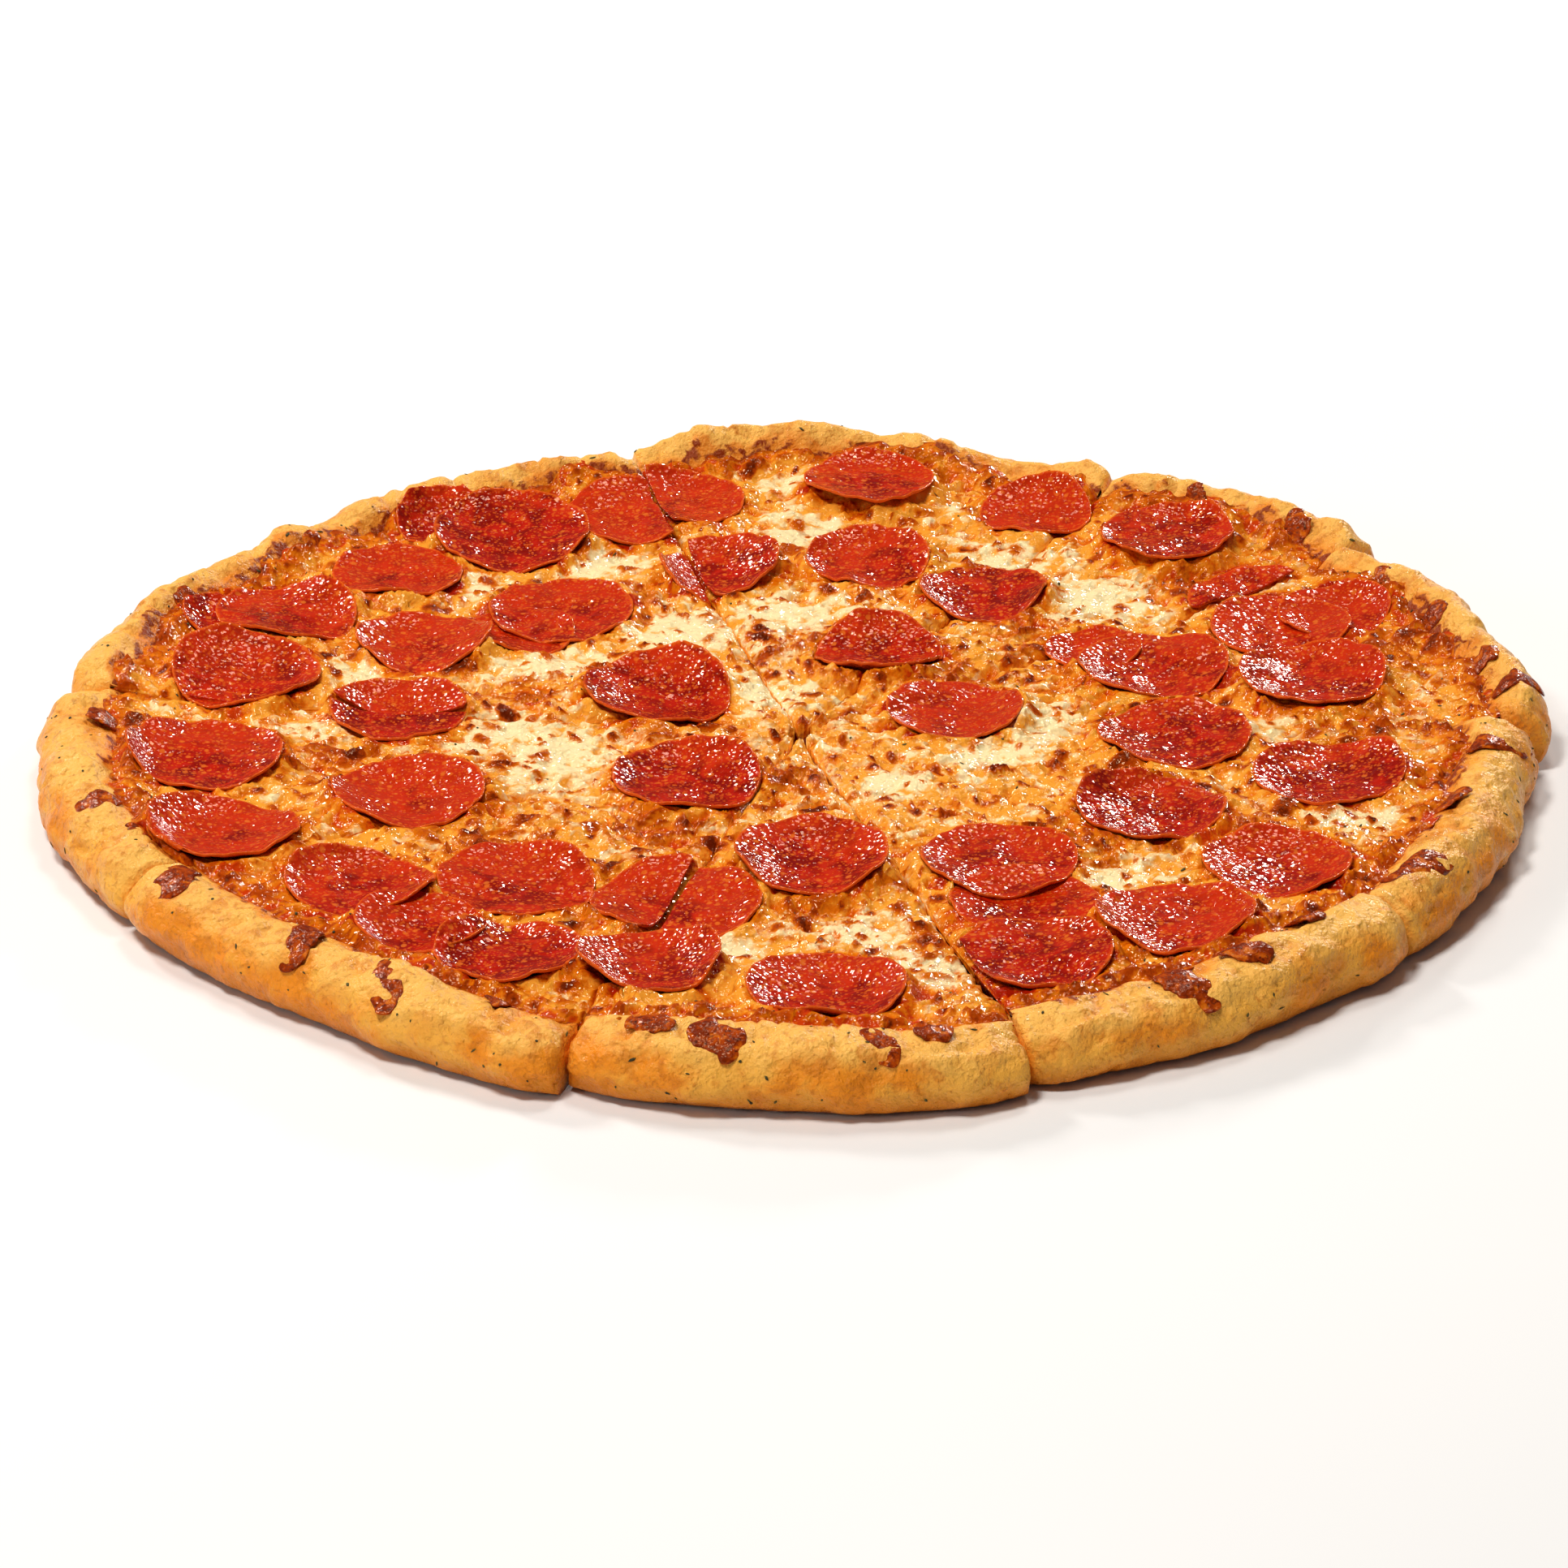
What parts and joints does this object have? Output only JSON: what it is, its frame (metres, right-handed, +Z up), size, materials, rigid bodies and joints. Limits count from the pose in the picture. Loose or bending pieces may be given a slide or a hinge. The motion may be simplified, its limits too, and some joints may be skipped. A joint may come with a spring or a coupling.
{
  "type": "pepperoni pizza",
  "caption": "Round pepperoni pizza with a rolled crust, cut into wedge slices that still lie together in a full circle.",
  "frame": {"origin": "middle of the pizza on the flat underside that it rests on", "axes": "+Z up out of the toppings, -Y towards the side that the picture shows in front, +X to its right"},
  "size_m": [0.3626, 0.3661, 0.0212],
  "materials": {
    "dough": "satin",
    "cheese": "satin",
    "pepperoni": "gloss",
    "sauce": "gloss",
    "herbs": "matte"
  },
  "bodies": {
    "root": {"dough_right": "dough", "dough_right_back": "dough", "dough_back": "dough", "dough_left_back": "dough", "dough_left": "dough", "dough_left_front": "dough", "dough_front": "dough", "dough_right_front": "dough", "dough_right_side": "dough", "cheese_right": "cheese", "cheese_right_back": "cheese", "cheese_back": "cheese", "cheese_left_back": "cheese", "cheese_left": "cheese", "cheese_left_front": "cheese", "cheese_front": "cheese", "cheese_right_front": "cheese", "cheese_right_side": "cheese", "pepperoni_01": "pepperoni", "pepperoni_02": "pepperoni", "pepperoni_03": "pepperoni", "pepperoni_04": "pepperoni", "pepperoni_05": "pepperoni", "pepperoni_06": "pepperoni", "pepperoni_07": "pepperoni", "pepperoni_08": "pepperoni", "pepperoni_09": "pepperoni", "pepperoni_10": "pepperoni", "pepperoni_11": "pepperoni", "pepperoni_12": "pepperoni", "pepperoni_13": "pepperoni", "pepperoni_14": "pepperoni", "pepperoni_15": "pepperoni", "pepperoni_16": "pepperoni", "pepperoni_17": "pepperoni", "pepperoni_18": "pepperoni", "pepperoni_19": "pepperoni", "pepperoni_20": "pepperoni", "pepperoni_21": "pepperoni", "pepperoni_22": "pepperoni", "pepperoni_23": "pepperoni", "pepperoni_24": "pepperoni", "pepperoni_25": "pepperoni", "pepperoni_26": "pepperoni", "pepperoni_27": "pepperoni", "pepperoni_28": "pepperoni", "pepperoni_29": "pepperoni", "pepperoni_30": "pepperoni", "pepperoni_31": "pepperoni", "pepperoni_32": "pepperoni", "pepperoni_33": "pepperoni", "pepperoni_34": "pepperoni", "pepperoni_35": "pepperoni", "pepperoni_36": "pepperoni", "pepperoni_37": "pepperoni", "pepperoni_38": "pepperoni", "pepperoni_39": "pepperoni", "pepperoni_40": "pepperoni", "pepperoni_41": "pepperoni", "pepperoni_42": "pepperoni"}
  },
  "joints": []
}
